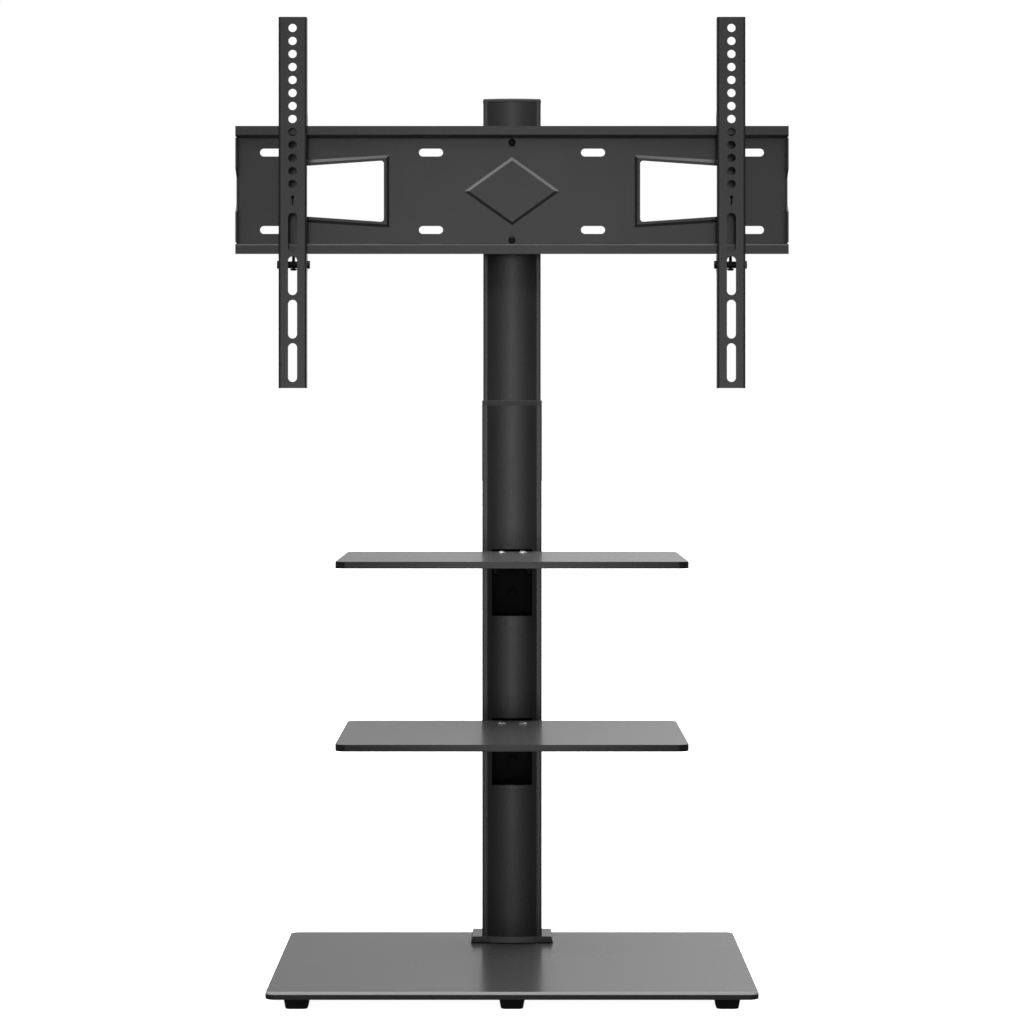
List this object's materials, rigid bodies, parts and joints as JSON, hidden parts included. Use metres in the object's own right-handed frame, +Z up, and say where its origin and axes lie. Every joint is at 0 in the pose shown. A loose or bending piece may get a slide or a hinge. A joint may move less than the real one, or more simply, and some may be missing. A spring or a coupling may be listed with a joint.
{
  "type": "tv stand with mount",
  "caption": "Floor stand for a flat screen: black glass base on rubber feet, telescoping column, glass shelves, and a slotted steel plate with hanging arms that slide sideways.",
  "frame": {"origin": "on the floor, under the middle of the glass base", "axes": "+Z up, front towards -Y, +X to the right seen from the front"},
  "size_m": [0.64, 0.36, 1.0977],
  "materials": {
    "black_glass": "polished opaque black",
    "column_paint": "satin black",
    "mount_paint": "matt black powder coat",
    "black_rubber": "matt",
    "black_plastic": "fine grained",
    "bright_steel": "polished",
    "plated_steel": "zinc plated",
    "dark_steel": "black oxide"
  },
  "bodies": {
    "stand": {"base_glass": "black_glass", "foot_front_left": "black_rubber", "foot_front_middle": "black_rubber", "foot_front_right": "black_rubber", "foot_rear_left": "black_rubber", "foot_rear_middle": "black_rubber", "foot_rear_right": "black_rubber", "base_clamp_pad": "black_rubber", "base_clamp_plate": "plated_steel", "base_bolts": "plated_steel", "foot_gasket": "black_rubber", "column_foot": "column_paint", "foot_screws": "dark_steel", "lower_column": "column_paint", "column_collar": "black_plastic", "lock_boss": "column_paint", "lower_shelf_glass": "black_glass", "lower_shelf_bracket": "mount_paint", "lower_shelf_pad": "black_rubber", "lower_shelf_screws": "bright_steel", "lower_shelf_nuts": "plated_steel", "lower_bracket_bolts": "dark_steel", "lower_bracket_nuts": "dark_steel", "upper_shelf_glass": "black_glass", "upper_shelf_bracket": "mount_paint", "upper_shelf_pad": "black_rubber", "upper_shelf_screws": "bright_steel", "upper_shelf_nuts": "plated_steel", "upper_bracket_bolts": "dark_steel", "upper_bracket_nuts": "dark_steel"},
    "mast": {"upper_column": "column_paint", "column_glide": "black_plastic", "column_cap": "black_plastic", "mount_saddle": "mount_paint", "cross_bolts": "dark_steel", "cross_nuts": "plated_steel", "mount_plate": "mount_paint", "plate_bolts": "dark_steel", "plate_nuts": "plated_steel"},
    "left_arm": {"left_arm": "mount_paint", "left_arm_pin": "dark_steel"},
    "left_safety_screw": {"left_safety_screw": "dark_steel"},
    "right_arm": {"right_arm": "mount_paint", "right_arm_pin": "dark_steel"},
    "right_safety_screw": {"right_safety_screw": "dark_steel"},
    "lock_screw": {"lock_screw": "black_plastic"}
  },
  "joints": [
    {"name": "mast_height", "type": "slide", "parent": "stand", "child": "mast", "axis": [0, 0, 1], "range_m": [-0.025, 0.085]},
    {"name": "left_arm_slide", "type": "slide", "parent": "mast", "child": "left_arm", "axis": [1, 0, 0], "range_m": [-0.047, 0.203]},
    {"name": "right_arm_slide", "type": "slide", "parent": "mast", "child": "right_arm", "axis": [1, 0, 0], "range_m": [-0.203, 0.047]},
    {"name": "left_safety_screw_travel", "type": "slide", "parent": "left_arm", "child": "left_safety_screw", "axis": [0, 0, 1], "range_m": [-0.009, 0]},
    {"name": "right_safety_screw_travel", "type": "slide", "parent": "right_arm", "child": "right_safety_screw", "axis": [0, 0, 1], "range_m": [-0.009, 0]},
    {"name": "lock_screw_turn", "type": "hinge", "parent": "stand", "child": "lock_screw", "pos_m": [0, 0.165, 0.622], "axis": [0, 1, 0], "range_deg": [0, 360]}
  ]
}
